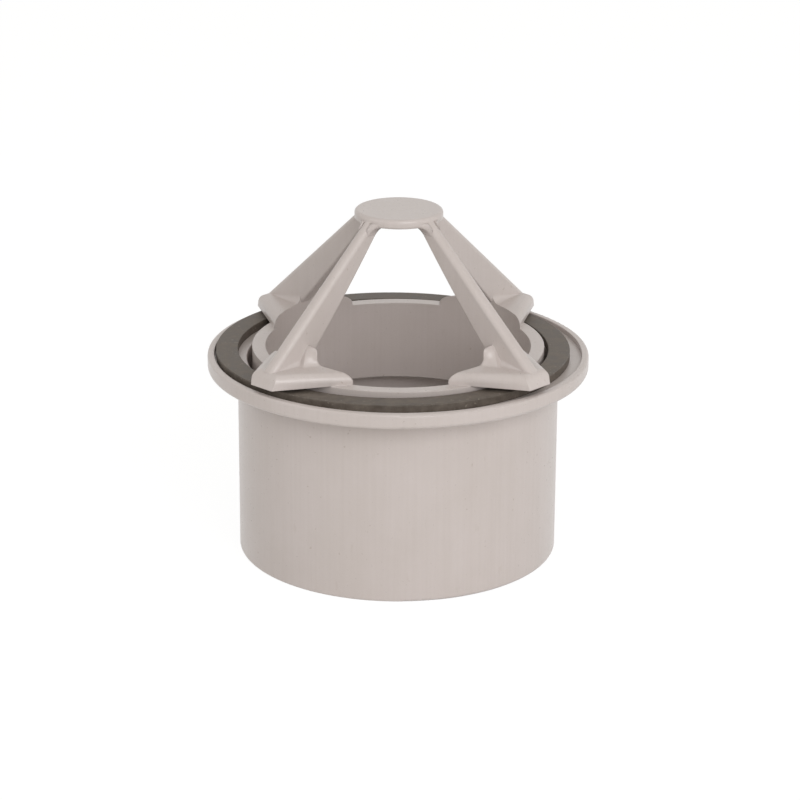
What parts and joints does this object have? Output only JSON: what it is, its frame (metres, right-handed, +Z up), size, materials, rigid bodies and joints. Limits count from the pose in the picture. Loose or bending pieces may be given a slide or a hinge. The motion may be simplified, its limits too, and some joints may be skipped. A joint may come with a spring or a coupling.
{
  "type": "gutter outlet",
  "caption": "Flanged PVC spigot with a rubber sealing ring and a finned leaf guard that clamps it into a gutter's sole and keeps leaves out of the downpipe.",
  "frame": {"origin": "on the outlet's axis, at the level of the spigot's lower end", "axes": "+Z up along the axis, towards the leaf guard's disc; the four legs stand at 45 degrees to X and Y"},
  "size_m": [0.1306, 0.1306, 0.1205],
  "materials": {
    "pvc_body": "satin moulded PVC, light warm grey",
    "rubber": "dull dark grey rubber",
    "pvc_guard": "satin moulded PVC, light warm grey"
  },
  "bodies": {
    "outlet": {"spigot_body": "pvc_body", "gasket": "rubber"},
    "guard": {"leaf_guard": "pvc_guard"}
  },
  "joints": [
    {"name": "guard_lift", "type": "slide", "parent": "outlet", "child": "guard", "axis": [0, 0, 1], "range_m": [-0.0009, 0.024]}
  ]
}
